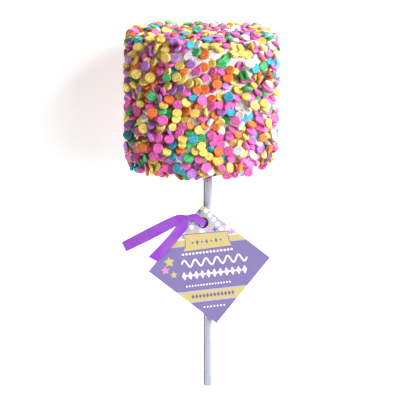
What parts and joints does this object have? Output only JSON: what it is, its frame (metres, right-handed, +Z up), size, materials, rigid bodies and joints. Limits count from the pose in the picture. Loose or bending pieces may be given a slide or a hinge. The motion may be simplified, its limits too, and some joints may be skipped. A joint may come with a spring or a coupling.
{
  "type": "marshmallow pop",
  "caption": "Coated marshmallow on a paper stick, covered in pastel confetti discs, lying on its side, with a square card tag tied on by a violet ribbon.",
  "frame": {"origin": "middle of the small flat that the marshmallow rests on, below its mid length", "axes": "+Z up; +Y along the stick, from its free end towards the marshmallow's top end; +X to the right of someone who looks down on the tag with the marshmallow at the top"},
  "size_m": [0.0519, 0.1198, 0.0474],
  "materials": {
    "coating": "satin",
    "confetti": "matte",
    "stick_paper": "matte",
    "tag_card": "satin",
    "ribbon_satin": "satin"
  },
  "bodies": {
    "root": {"head": "coating", "stick": "stick_paper", "tag": "tag_card", "ribbon": "ribbon_satin"}
  },
  "joints": []
}
